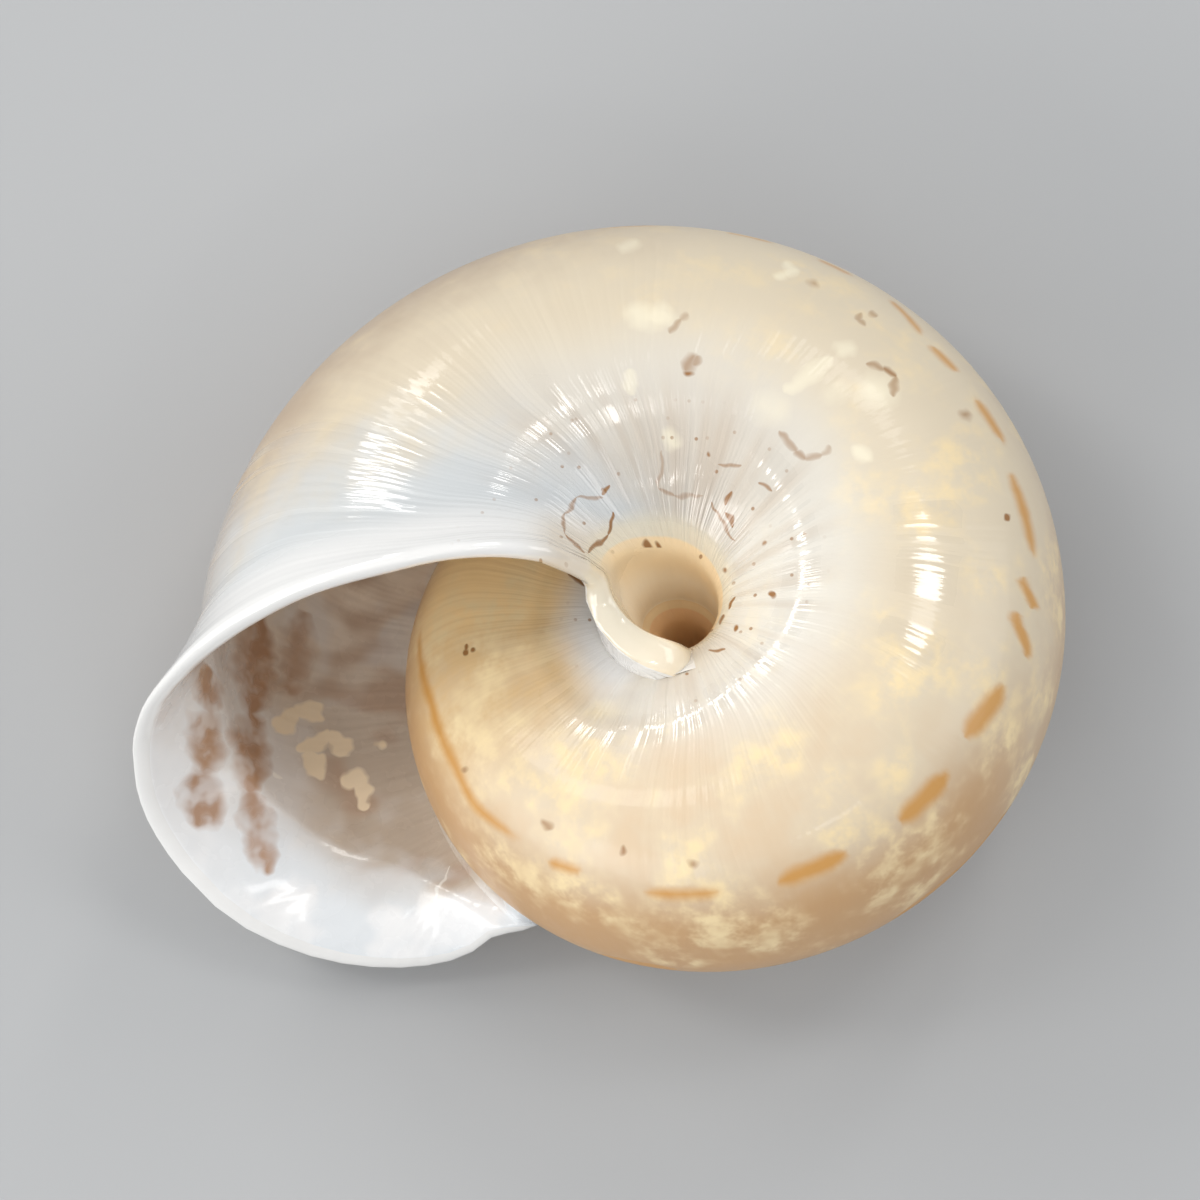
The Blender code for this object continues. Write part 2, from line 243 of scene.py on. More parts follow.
columns = np.r_[
    SEAM_SEAT * np.linspace(0, 1, SHOULDER_STEPS + 1) ** 1.5,
    np.linspace(SEAM_SEAT + SEAM_FOOT, NAVEL_AT - NAVEL_FOOT, OUTER_STEPS + 1),
    np.linspace(NAVEL_AT, END, NAVEL_STEPS + 1),
]
ON_SEAM = SHOULDER_STEPS
PAST_SEAM = ON_SEAM + 1
BEFORE_NAVEL = PAST_SEAM + OUTER_STEPS
ON_NAVEL = BEFORE_NAVEL + 1
LAST_COLUMN = len(columns) - 1
inner_columns = np.r_[
    0, np.linspace(0.9, 2.6, 8, endpoint=False), np.linspace(2.6, END - 1.2, INNER_STEPS - 9), END
]

LEAN_TOWARDS = np.radians(116.0)  # how the shell lies: it leans towards this azimuth by this angle
LEAN = np.radians(13.4)
WORN = 0.10  # on a small worn flat


def slant_of(row):
    """0 on straight rows, 1 on the row where the lip begins."""
    return smooth_step(1 - (LAST_ROW - row) / SLANT_ROWS)


def row_turns(row, place):
    """Angles of a row. A row under the seam of the next turn follows that turn's slanted rows."""
    slanted = slant_of(row) * (lip_start(place) - MOUTH_TURN)
    if row <= LAST_ROW - ROWS_PER_TURN:
        carried = slant_of(row + ROWS_PER_TURN)
    else:
        carried = smooth_step(1 - (row - LAST_ROW + ROWS_PER_TURN) / RELAX_ROWS)
    rising = smooth_step((place - SEAM_SEAT - 1) / (NAVEL_AT - NAVEL_FOOT - SEAM_SEAT - 1))
    falling = smooth_step((END - place) / (END - NAVEL_AT))
    reach = np.where(place <= NAVEL_AT, rising, falling)
    lift = np.radians(LIP_EDGE[-1][1]) - MOUTH_TURN
    return MOUTH_TURN - (LAST_ROW - row) * ROW_STEP + slanted + carried * reach * lift


points = []
faces = []  # corners of each face: the point's number, its angle of growth and its place along the section


def add(point):
    points.append(np.asarray(point, float))
    return len(points) - 1


def join(first, second, first_at=None, second_at=None):
    """Faces between two rows of corners, which need not hold as many each."""
    if len(first) == len(second):
        for a, b, c, d in zip(first, second, second[1:], first[1:]):
            faces.append((a, b, c, d))
        return
    first_at = np.linspace(0, 1, len(first)) if first_at is None else first_at
    second_at = np.linspace(0, 1, len(second)) if second_at is None else second_at
    i = j = 0
    while i < len(first) - 1 or j < len(second) - 1:
        done = j == len(second) - 1
        if done or (i < len(first) - 1 and first_at[i + 1] <= second_at[j + 1] + 1e-9):
            faces.append((first[i], second[j], first[i + 1]))
            i += 1
        else:
            faces.append((first[i], second[j], second[j + 1]))
            j += 1


def corners(numbers, turns, places):
    return list(zip(numbers, turns, places))


outer = []
tip = add((0, 0, 0.08))
foot = add((0, 0, 1.7))
near_seam = np.clip(1 - columns / 6, 0, 1)[:, None] ** 2
near_navel = np.clip(1 - (END - columns) / 6, 0, 1)[:, None] ** 2
for row in range(LAST_ROW + 1):
    turns = row_turns(row, columns)
    bulb = 0.3 + 0.7 * smooth_step(row / (0.7 * ROWS_PER_TURN))
    spots = in_space(turns, in_section(turns, columns, bulb))
    under = row - ROWS_PER_TURN
    seam_point = outer[under][ON_SEAM][0] if under >= 0 else tip
    navel_point = outer[under][ON_NAVEL][0] if under >= 0 else foot
    to_seam = points[seam_point] - spots[0]
    to_navel = points[navel_point] - spots[-1]
    spots = spots + to_seam * near_seam + to_navel * near_navel
    numbers = [seam_point, *[add(spot) for spot in spots[1:-1]], navel_point]
    outer.append(corners(numbers, turns, columns))

for row in range(LAST_ROW):
    covered = row + 1 + ROWS_PER_TURN <= LAST_ROW
    bands = [(0, ON_SEAM), (ON_NAVEL, LAST_COLUMN)] if covered else [(0, LAST_COLUMN)]
    if covered and row + ROWS_PER_TURN >= FIRST_HOLLOW_ROW:
        bands.append((PAST_SEAM, BEFORE_NAVEL))
    for start, stop in bands:
        join(outer[row][start : stop + 1], outer[row + 1][start : stop + 1])
first_turn = outer[0][0][1]
faces.append(((tip, first_turn, 0), *outer[0][1 : ON_SEAM + 1]))
faces.append(((foot, first_turn, END), *outer[0][LAST_COLUMN - 1 : ON_NAVEL - 1 : -1]))


def lip_row(part, place, inside):
    """A row of the lip, part of the way from its start to its edge."""
    turns = lip_turn(place) - (1 - part) * (lip_turn(place) - lip_start(place))
    thick = smooth_step(part)
    wall = wall_at(place) * size_at(turns) * (1 - thick) + through(place, LIP_THICKNESS) * thick
    shift = through(place, LIP_FLARE) * part**1.7 - wall * inside
    spots = in_space(turns, in_section(turns, place) + outward(turns, place) * shift[:, None])
    return turns, spots


def edge_row(place, angle):
    """A row round the lip's rounded edge, from its outer side at angle 0 to its inner side at pi."""
    turns = lip_turn(place)
    thickness = through(place, LIP_THICKNESS)
    flare = through(place, LIP_FLARE)
    slope = np.arctan2(1.7 * flare, through(place, LIP_REACH) + 0.3)
    ahead = 0.4 * thickness * np.sin(angle) * np.clip(np.minimum(place, END - place) / 1.5, 0, 1)
    shift = flare - thickness * (1 - np.cos(angle)) / 2 + ahead * np.sin(slope)
    growing = np.stack([np.sin(turns), -np.cos(turns), 0 * turns], -1)
    spots = in_space(turns, in_section(turns, place) + outward(turns, place) * shift[:, None])
    return turns, spots + growing * (ahead * np.cos(slope))[:, None]


def between_ends(row, places, turns, spots):
    """Corners of a new row that shares the end points of an earlier one."""
    numbers = [row[0][0], *[add(spot) for spot in spots[1:-1]], row[-1][0]]
    return corners(numbers, turns, places)


outer_lip = [outer[LAST_ROW]]
for step in range(1, LIP_ROWS + 1):
    outer_lip.append(between_ends(outer[LAST_ROW], columns, *lip_row(step / LIP_ROWS, columns, 0)))
for step in range(1, EDGE_ROWS + 1):
    angle = np.pi * step / (EDGE_ROWS + 1)
    outer_lip.append(between_ends(outer[LAST_ROW], columns, *edge_row(columns, angle)))
for first, second in zip(outer_lip, outer_lip[1:]):
    join(first, second)

# From here on, faces belong to the lining
first_lining_face = len(faces)
inner = {}
for row in range(FIRST_HOLLOW_ROW, LAST_ROW + 1):
    turns = row_turns(row, inner_columns)
    depth = (wall_at(inner_columns) * size_at(turns))[:, None]
    spots = in_space(turns, in_section(turns, inner_columns) - outward(turns, inner_columns) * depth)
    under = outer[row - ROWS_PER_TURN]
    numbers = [under[PAST_SEAM][0], *[add(spot) for spot in spots[1:-1]], under[BEFORE_NAVEL][0]]
    inner[row] = corners(numbers, turns, inner_columns)
inner_lip = [inner[LAST_ROW]]
for step in range(1, LIP_ROWS + 1):
    turns, spots = lip_row(step / LIP_ROWS, inner_columns, 1)
    inner_lip.append(between_ends(inner[LAST_ROW], inner_columns, turns, spots))
join(outer_lip[-1], inner_lip[-1], columns / END, inner_columns / END)
for first, second in zip(inner_lip[::-1], inner_lip[-2::-1]):
    join(first, second)
for row in range(LAST_ROW, FIRST_HOLLOW_ROW, -1):
    join(inner[row], inner[row - 1])
join(inner[FIRST_HOLLOW_ROW], outer[FIRST_HOLLOW_ROW - ROWS_PER_TURN][PAST_SEAM : BEFORE_NAVEL + 1])

# Laid down on its spire, with the middle of its outline over the origin
lean_axis = np.array([-np.sin(LEAN_TOWARDS), np.cos(LEAN_TOWARDS), 0])
leaning = np.array(Matrix.Rotation(LEAN, 3, Vector(lean_axis)))
laid = np.array(points) @ leaning.T
drop = laid[:, 2].min() + WORN
laid[:, 2] = np.maximum(laid[:, 2] - drop, 0)
middle = (laid[:, :2].min(0) + laid[:, :2].max(0)) / 2
laid[:, :2] -= middle
laid = np.clip(laid * 0.001, cad_box[0], cad_box[1])

whole = []
for face in faces:
    distinct = {corner[0]: corner for corner in face}
    whole.append(list(distinct.values()))
mesh = bpy.data.meshes.new("shell_piece")
mesh.from_pydata(laid.tolist(), [], [[corner[0] for corner in face] for face in whole])
mesh.polygons.foreach_set("use_smooth", [True] * len(mesh.polygons))
flat = np.array([corner for face in whole for corner in face])
growth, place = flat[:, 1], flat[:, 2]
to_lip = (lip_turn(place) - growth) * in_section(growth, place)[:, 0]
for name, values in (("growth", np.degrees(growth)), ("place", place), ("to_lip", to_lip)):
    mesh.attributes.new(name, "FLOAT", "CORNER").data.foreach_set("value", values.astype(np.float32))
lining = np.arange(len(whole)) >= first_lining_face
mesh.polygons.foreach_set("material_index", lining.astype(np.int32))

repair = bmesh.new()
repair.from_mesh(mesh)
bmesh.ops.recalc_face_normals(repair, faces=repair.faces)
repair.to_mesh(mesh)
repair.free()
mesh.set_sharp_from_angle(angle=np.radians(50))

shell = bpy.data.objects.new("shell_piece", mesh)
bpy.context.scene.collection.objects.link(shell)


# The skin
# The outside has a thin glossy skin over ivory layers. Fine growth lines cross the spiral, and a string of
# orange-brown dashes runs a little towards the base from the widest line. Near the lip it is porcelain white.


def put(tree, kind, settings=None, inputs=None):
    """A new shader node. An input is a value, or the output socket that feeds it."""
    made = tree.nodes.new("ShaderNode" + kind)
    for name, value in (settings or {}).items():
        setattr(made, name, value)
    for name, value in (inputs or {}).items():
        if isinstance(value, bpy.types.NodeSocket):
            tree.links.new(value, made.inputs[name])
        else:
            made.inputs[name].default_value = value
    return made


def reckon(tree, operation, *values):
    """The result of a math node."""
    return put(tree, "Math", {"operation": operation}, dict(enumerate(values))).outputs[0]


def product(tree, *values):
    result = values[0]
    for value in values[1:]:
        result = reckon(tree, "MULTIPLY", result, value)
    return result


def vectors(tree, operation, *values):
    made = put(tree, "VectorMath", {"operation": operation}, dict(enumerate(values)))
    return made.outputs["Value" if operation == "DISTANCE" else "Vector"]


def between(tree, value, low, high, start=0.0, end=1.0):
    """start where the value is low or less, end where it is high or more, and a smooth change between."""
    inputs = {"Value": value, "From Min": low, "From Max": high, "To Min": start, "To Max": end}
    return put(tree, "MapRange", {"interpolation_type": "SMOOTHSTEP"}, inputs).outputs["Result"]


def blend(tree, mask, first, second):
    """Colours mixed by a mask."""
    made = put(tree, "Mix", {"data_type": "RGBA"})
    for socket, value in zip((made.inputs[0], made.inputs[6], made.inputs[7]), (mask, first, second)):
        if isinstance(value, bpy.types.NodeSocket):
            tree.links.new(value, socket)
        else:
            socket.default_value = value if isinstance(value, float) else (*value, 1)
    return made.outputs[2]


def clouds(tree, where, scale, detail, roughness=0.6):
    """Noise in space."""
    inputs = {"Vector": where, "Scale": scale, "Detail": detail, "Roughness": roughness}
    return put(tree, "TexNoise", None, inputs).outputs["Fac"]


def flat_clouds(tree, across, up, detail):
    """Noise over two values."""
    spot = put(tree, "CombineXYZ", None, {"X": across, "Y": up}).outputs[0]
    inputs = {"Vector": spot, "Scale": 1.0, "Detail": detail, "Roughness": 0.6}
    return put(tree, "TexNoise", {"noise_dimensions": "2D"}, inputs).outputs["Fac"]


def carried(tree, name):
    """A value that the mesh carries at each corner."""
    return put(tree, "Attribute", {"attribute_name": name}).outputs["Fac"]


def in_millimetres(tree):
    """The position on the shell as it lies, measured from the middle of its outline on the floor."""
    position = put(tree, "TexCoord").outputs["Object"]
    return put(tree, "VectorMath", {"operation": "SCALE"}, {0: position, "Scale": 1000.0}).outputs[0]


def curve_of(tree, value, low, high, table, most):
    """Value of a curve through a table. It runs from low to high, and the result from 0 to most."""
    share = put(tree, "MapRange", None, {"Value": value, "From Min": low, "From Max": high}).outputs["Result"]
    made = put(tree, "FloatCurve", None, {"Value": share})
    curve = made.mapping.curves[0]
    spots = [((x - low) / (high - low), y / most) for x, y in table]
    while len(curve.points) < len(spots):
        curve.points.new(0.5, 0.5)
    for point, spot in zip(curve.points, spots):
        point.location = spot
        point.handle_type = "VECTOR"
    made.mapping.update()
    return product(tree, made.outputs[0], most)


def new_group(name, inputs, outputs):
    group = bpy.data.node_groups.new(name, "ShaderNodeTree")
    for label, kind, value in inputs:
        socket = group.interface.new_socket(label, in_out="INPUT", socket_type="NodeSocket" + kind)
        if value is not None:
            socket.default_value = value
    for label, kind in outputs:
        group.interface.new_socket(label, in_out="OUTPUT", socket_type="NodeSocket" + kind)
    return group, group.nodes.new("NodeGroupInput").outputs, group.nodes.new("NodeGroupOutput").inputs


def use_group(tree, group, inputs):
    made = put(tree, "Group", {"node_tree": group}, inputs)
    return made.outputs


def growth_lines_group():
    """Fine lines across the spiral, where the shell was added to day by day, and the coarser pauses."""
    group, given, result = new_group(
        "growth lines",
        [("Growth", "Float", 0.0), ("Place", "Float", 0.0)],
        [("Fine Lines", "Float"), ("Ribs", "Float"), ("Pauses", "Float")],
    )
    wander = {"W": given["Place"], "Scale": 0.25, "Detail": 0.0}
    wander = put(group, "TexNoise", {"noise_dimensions": "1D"}, wander).outputs["Fac"]
    along = reckon(group, "MULTIPLY_ADD", wander, 5.0, given["Growth"])
    slow = product(group, given["Place"], 0.045)
    fine = flat_clouds(group, product(group, along, 0.52), slow, 1.0)
    rib = flat_clouds(group, product(group, along, 0.2), slow, 0.0)
    pause = flat_clouds(group, product(group, along, 0.085), slow, 1.0)
    group.links.new(reckon(group, "MULTIPLY_ADD", pause, 1.6, fine), result["Fine Lines"])
    group.links.new(reckon(group, "MULTIPLY_ADD", fine, 0.3, rib), result["Ribs"])
    group.links.new(between(group, pause, 0.4, 0.68), result["Pauses"])
    return group


def stroke_group():
    """A straight stroke seen from above: its mask falls off with the sum of the distances to its two ends."""
    group, given, result = new_group(
        "stroke",
        [
            ("Where", "Vector", None), ("Start", "Vector", None), ("End", "Vector", None),
            ("Top", "Float", 1.0), ("Steepness", "Float", 1.0),
        ],
        [("Mask", "Float")],
    )
    to_start = vectors(group, "DISTANCE", given["Where"], given["Start"])
    to_end = vectors(group, "DISTANCE", given["Where"], given["End"])
    both = reckon(group, "ADD", to_start, to_end)
    group.links.new(reckon(group, "MULTIPLY_ADD", both, given["Steepness"], given["Top"]), result["Mask"])
    return group


growth_lines = growth_lines_group()
stroke = stroke_group()


def strokes(tree, where, table):
    """One mask of strokes, each given as x, y, x, y, half width, softness and strength."""
    total = 0.0
    for x, y, to_x, to_y, half, soft, strength in table:
        length = max(np.hypot(to_x - x, to_y - y), 0.02)
        longer = 2 * np.hypot(length / 2, half + soft) - length
        peak = strength / (1 - (half / (half + soft)) ** 2)
        inputs = {"Where": where, "Start": (x, y, 0), "End": (to_x, to_y, 0)}
        inputs |= {"Top": peak * (1 + length / longer), "Steepness": -peak / longer}
        total = reckon(tree, "MAXIMUM", total, use_group(tree, stroke, inputs)["Mask"])
    return reckon(tree, "MINIMUM", total, 1.0)


def seen_from_above(tree, where, jitter, scale):
    """The position without its height, moved about a little so that outlines turn out ragged."""
    inputs = {"Vector": where, "Scale": scale, "Detail": 1.0}
    moved = put(tree, "TexNoise", {"noise_dimensions": "2D"}, inputs).outputs["Color"]
    moved = vectors(tree, "SUBTRACT", moved, (0.5, 0.5, 0.5))
    moved = put(tree, "VectorMath", {"operation": "SCALE"}, {0: moved, "Scale": jitter}).outputs[0]
    return vectors(tree, "MULTIPLY", vectors(tree, "ADD", where, moved), (1, 1, 0))


IVORY = (0.72, 0.625, 0.47)
WARM_IVORY = (0.71, 0.55, 0.37)
# the flank's own grey-tan, darkened with painted shade
GREY_IVORY_AND_PAINTED_SHADE = (0.47, 0.35, 0.24)
PORCELAIN = (0.63, 0.66, 0.675)
MILK = (0.87, 0.865, 0.85)
CREAM = (0.90, 0.72, 0.42)
HONEY = (0.76, 0.53, 0.26)
# the wall's own orange, brightened with painted light
AMBER_PAINTED_LIGHT = (1.0, 0.72, 0.36)
HORN = (0.56, 0.33, 0.15)
# painted shade for the youngest part of the funnel into the navel
FUNNEL_PAINTED_SHADE_GREY = (0.60, 0.535, 0.455)
PEARLY_GREY = (0.76, 0.765, 0.74)
PAUSE_BROWN = (0.50, 0.37, 0.25)
FOLD_BEIGE = (0.75, 0.67, 0.56)
RING_CREAM = (0.88, 0.80, 0.62)
TAN = (0.95, 0.75, 0.48)
# painted light deep in the navel
DEEP_CREAM_PAINTED_LIGHT = (1.0, 0.88, 0.68)
LEDGE = (0.92, 0.62, 0.36)
CHIP_WHITE = (0.93, 0.86, 0.66)
DASH = (0.62, 0.30, 0.06)
DIRT = (0.32, 0.15, 0.045)

DASHES_FROM, DASHES_TO = -400.0, -60.0  # degrees of growth
MOST_HALF_WIDTH, MOST_PLACE = 0.6, 20.0
DASHES = (  # degrees of growth at the start and end of each dash, and half its width
    (-366.0, -304.5, 0.26), (-299.5, -291.5, 0.2), (-279.5, -263.5, 0.2), (-255.0, -241.0, 0.36),
    (-231.0, -218.5, 0.42), (-212.5, -200.0, 0.44), (-193.5, -188.3, 0.45), (-186.0, -181.5, 0.4),
    (-177.5, -162.0, 0.26), (-157.5, -148.5, 0.24), (-143.8, -137.0, 0.2), (-135.5, -126.0, 0.16),
    (-120.0, -113.0, 0.12), (-107.0, -98.0, 0.12), (-90.0, -80.0, 0.1),
)
MIDDLE = (  # degrees of growth, and the place of the middle of the string of dashes
    (-375, 14.6), (-361, 14.7), (-344, 15.5), (-328, 15.35), (-319, 14.85), (-306, 15.12), (-299, 14.85),
    (-291, 15.1), (-279, 14.8), (-264, 14.85), (-254, 14.8), (-241, 14.9), (-230, 14.78), (-219, 14.86),
    (-212, 15.28), (-200, 14.8), (-193, 14.05), (-188.5, 15.4), (-185.5, 14.15), (-182, 15.2),
    (-177, 14.45), (-162, 15.15), (-157, 14.8), (-149, 15.2), (-143, 15.2), (-137, 15.45), (-126, 14.5),
    (-80, 14.5),
)
SCRATCHES = (  # x, y, x, y in millimetres, half width, softness, strength, as in the next two
    (-0.38, 0.02, -0.92, 0.45, 0.02, 0.05, 0.9), (-0.92, 0.45, -1.0, 1.15, 0.015, 0.05, 0.7),
    (-1.0, 1.15, -0.5, 1.7, 0.015, 0.06, 0.7), (-0.5, 1.7, 0.2, 1.82, 0.015, 0.06, 0.6),
    (0.5, 1.45, 0.3, 0.8, 0.035, 0.05, 1), (0.3, 0.8, -0.3, 0.05, 0.03, 0.05, 1),
    (0.2, 1.9, 0.42, 2.2, 0.035, 0.05, 1), (2.06, 3.2, 1.9, 2.16, 0.01, 0.07, 0.45),
    (1.9, 2.16, 2.37, 1.95, 0.015, 0.06, 0.55), (2.37, 1.95, 3.18, 1.98, 0.015, 0.07, 0.45),
    (3.88, 1.50, 4.08, 1.10, 0.05, 0.05, 1),
    (4.03, 1.95, 3.92, 1.65, 0.04, 0.05, 0.9), (3.44, 1.72, 4.12, 0.63, 0.025, 0.05, 0.7),
    (3.65, 2.75, 4.34, 2.71, 0.02, 0.06, 0.6), (4.94, 2.14, 5.25, 1.87, 0.03, 0.06, 0.7),
    (3.85, -1.22, 4.06, -0.88, 0.03, 0.05, 1), (3.57, -1.67, 3.70, -1.30, 0.03, 0.05, 0.8),
    (3.23, -2.51, 3.69, -2.63, 0.03, 0.05, 0.8),
    (8.13, 7.64, 8.14, 7.34, 0.02, 0.12, 0.5), (8.14, 7.34, 8.34, 7.13, 0.02, 0.12, 0.5),
    (8.25, 5.77, 8.79, 5.65, 0.03, 0.14, 0.6), (8.79, 5.69, 9.1, 5.39, 0.05, 0.14, 0.8),
    (9.1, 5.39, 9.0, 4.71, 0.03, 0.14, 0.6), (5.54, 3.69, 6.01, 2.99, 0.03, 0.12, 0.55),
    (6.01, 2.99, 6.24, 2.79, 0.03, 0.12, 0.6), (6.24, 2.79, 6.75, 2.85, 0.025, 0.12, 0.5),
    (6.75, 2.85, 7.06, 3.09, 0.02, 0.12, 0.4), (2.44, 6.87, 2.7, 7.34, 0.02, 0.15, 0.5),
    (2.7, 7.34, 2.98, 7.47, 0.02, 0.15, 0.4), (3.16, 6.06, 3.12, 5.81, 0.03, 0.15, 0.6),
)
PALE_MARKS = (
    (1.33, 7.58, 1.92, 7.39, 0.12, 0.5, 0.9), (1.92, 7.36, 2.29, 7.56, 0.2, 0.35, 1),
    (5.68, 8.88, 6.01, 8.94, 0.07, 0.2, 0.9), (6.02, 8.98, 6.24, 9.16, 0.09, 0.2, 1),
    (6.22, 9.21, 6.05, 9.46, 0.05, 0.2, 0.9), (1.12, 10.0, 1.53, 10.3, 0.09, 0.3, 0.7),
    (5.8, 4.84, 7.2, 5.96, 0.05, 0.3, 0.8), (7.43, 6.23, 7.86, 6.31, 0.07, 0.3, 0.8),
    (8.35, 4.96, 8.7, 4.73, 0.3, 0.45, 0.8), (7.83, 3.0, 8.11, 2.7, 0.09, 0.25, 1),
    (2.23, 3.73, 2.4, 3.4, 0.1, 0.25, 0.9), (1.14, 5.65, 1.2, 4.95, 0.04, 0.25, 0.7),
    (5.06, 4.52, 5.56, 4.22, 0.2, 0.5, 0.5), (7.08, 4.71, 7.45, 4.96, 0.1, 0.4, 0.4),
)
SPECKS = (
    (5.05, -1.23, 5.2, -1.15, 0.05, 0.06, 0.9), (4.02, -1.99, 4.1, -1.96, 0.05, 0.05, 1),
    (4.92, 0.38, 5.02, 0.44, 0.05, 0.06, 0.7), (3.77, -0.08, 3.77, 0, 0.04, 0.06, 0.8),
    (3.40, 3.16, 3.44, 3.08, 0.04, 0.06, 0.8), (2.91, 5.75, 3.04, 6.07, 0.09, 0.2, 0.6),
    (-4.02, -1.72, -4.06, -1.86, 0.03, 0.05, 0.9), (-4.12, -1.92, -4.02, -1.93, 0.06, 0.05, 1),
    (-3.84, -1.90, -3.78, -1.92, 0.06, 0.05, 1), (12.28, 0.89, 12.28, 1.0, 0.07, 0.05, 1),
    (0.39, -8.71, 0.42, -8.6, 0.07, 0.08, 0.7), (2.47, -9.22, 2.5, -9.15, 0.07, 0.1, 0.6),
    (-1.77, -7.74, -1.9, -7.55, 0.09, 0.12, 0.6), (-4.19, -5.63, -4.19, -5.55, 0.05, 0.08, 0.6),
    (1.57, 0.7, 1.5, 0.6, 0.09, 0.06, 1), (1.84, 0.74, 1.9, 0.7, 0.06, 0.06, 1),
    (2.93, 5.62, 2.96, 5.62, 0.06, 0.1, 1), (6.85, 8.63, 6.86, 8.63, 0.06, 0.2, 0.5),
    (8.47, 7.68, 8.67, 7.55, 0.03, 0.12, 0.5), (11.18, 4.27, 11.17, 4.2, 0.08, 0.2, 0.6),
)

# In both materials, growth is in degrees round the axis and rises to the lip, place is in millimetres along
# the section from the seam, and to_lip is how far the lip's edge still is, in millimetres
skin = bpy.data.materials.new("glossy ivory skin")
skin.use_nodes = True
tree = skin.node_tree
growth, place, to_lip = carried(tree, "growth"), carried(tree, "place"), carried(tree, "to_lip")
where = in_millimetres(tree)
lines = use_group(tree, growth_lines, {"Growth": growth, "Place": place})
broad = clouds(tree, where, 0.16, 2.0, 0.55)
mottle = clouds(tree, where, 0.42, 3.0)
fleck = clouds(tree, where, 1.1, 3.0)

# Ground: ivory on the base, warmer with age, horn on the sides, cream clouds, porcelain by the lip
old = between(tree, reckon(tree, "MULTIPLY_ADD", mottle, 40.0, growth), -255.0, -150.0, 1.0, 0.0)
old = product(tree, old, between(tree, mottle, 0.3, 0.6, 1.0, 0.4))
ground = blend(tree, old, IVORY, WARM_IVORY)
parietal = between(tree, reckon(tree, "MULTIPLY_ADD", broad, 30.0, growth), -325.0, -290.0, 1.0, 0.0)
parietal = product(tree, parietal, between(tree, fleck, 0.35, 0.65, 0.9, 0.6))
ground = blend(tree, parietal, ground, HONEY)
# Painted light: the start of the last turn, in the shadow under the lip, is brightened to full orange,
# standing in for light coming through the thin shell
ground = blend(tree, between(tree, growth, -348.0, -366.0, 0.0, 0.9), ground, AMBER_PAINTED_LIGHT)
side = between(tree, reckon(tree, "MULTIPLY_ADD", mottle, 1.6, place), 13.2, 17.0, 1.0, 0.0)
side = product(tree, side, between(tree, growth, -222.0, -188.0, 0.95, 0.1))
# Partly painted shade: the upper flank near the lip is darker grey-tan, its own tone darkened on the side
# that faces away from the light
flank_tone_and_shade = between(tree, reckon(tree, "MULTIPLY_ADD", mottle, 4.0, place), 16.0, 21.0, 1.0, 0.0)
flank_tone_and_shade = product(tree, flank_tone_and_shade, between(tree, growth, -110.0, -60.0))
ground = blend(tree, product(tree, flank_tone_and_shade, 0.85), ground, GREY_IVORY_AND_PAINTED_SHADE)
spire_side = reckon(tree, "MULTIPLY_ADD", reckon(tree, "ADD", broad, fleck), 3.0, place)
side = reckon(tree, "MAXIMUM", side, between(tree, spire_side, 17.5, 11.5, 0.0, 0.7))
ground = blend(tree, side, ground, HORN)
cloudy = product(tree, between(tree, mottle, 0.43, 0.68), between(tree, fleck, 0.34, 0.66))
cloudy = product(tree, cloudy, between(tree, growth, -195.0, -60.0, 0.95, 0.2))
ground = blend(tree, cloudy, ground, CREAM)
into_navel = between(tree, reckon(tree, "MULTIPLY_ADD", broad, 4.0, place), 22.5, 27.5)
pearly = between(tree, reckon(tree, "MULTIPLY_ADD", broad, 3.0, place), 21.0, 25.0, 0.0, 0.6)
pearly = product(tree, pearly, between(tree, growth, -325.0, -290.0))
ground = blend(tree, pearly, ground, PEARLY_GREY)
# Painted shade: the funnel into the navel turns grey over its youngest part, where it lies in shadow
painted_funnel_shade = product(tree, into_navel, between(tree, growth, -180.0, -110.0, 0.0, 1.0))
ground = blend(tree, product(tree, painted_funnel_shade, 0.75), ground, FUNNEL_PAINTED_SHADE_GREY)
streaks = product(tree, lines["Pauses"], between(tree, place, 22.0, 24.5, 0.03, 0.3))
ground = blend(tree, streaks, ground, PAUSE_BROWN)
white = between(tree, reckon(tree, "MULTIPLY_ADD", mottle, 6.0, to_lip), 4.5, 10.0, 1.0, 0.0)
white = product(tree, white, between(tree, place, 11.5, 16.5, 0.1, 0.95))
white = product(tree, white, between(tree, growth, -90.0, -45.0, 0.25, 1.0))
ground = blend(tree, white, ground, PORCELAIN)

# Dashes
widths = [(DASHES_FROM, 0.0)]
for start, end, half in sorted(DASHES):
    soft = (end - start) * 0.22
    widths += [(start, 0.0), (start + soft, half), (end - soft, half), (end, 0.0)]
widths.append((DASHES_TO, 0.0))
uneven = reckon(tree, "MULTIPLY_ADD", fleck, 3.0, reckon(tree, "SUBTRACT", growth, 1.5))
half_width = curve_of(tree, uneven, DASHES_FROM, DASHES_TO, widths, MOST_HALF_WIDTH)
middle_at = curve_of(tree, growth, DASHES_FROM, DASHES_TO, MIDDLE, MOST_PLACE)
off = reckon(tree, "ABSOLUTE", reckon(tree, "SUBTRACT", place, middle_at))
off = reckon(tree, "SUBTRACT", reckon(tree, "MULTIPLY_ADD", fleck, 0.3, off), half_width)
dash = between(tree, off, -0.14, 0.52, 1.0, 0.0)
dash = product(tree, dash, between(tree, half_width, 0.01, 0.12, 0.0, 0.9))
ground = blend(tree, dash, ground, DASH)

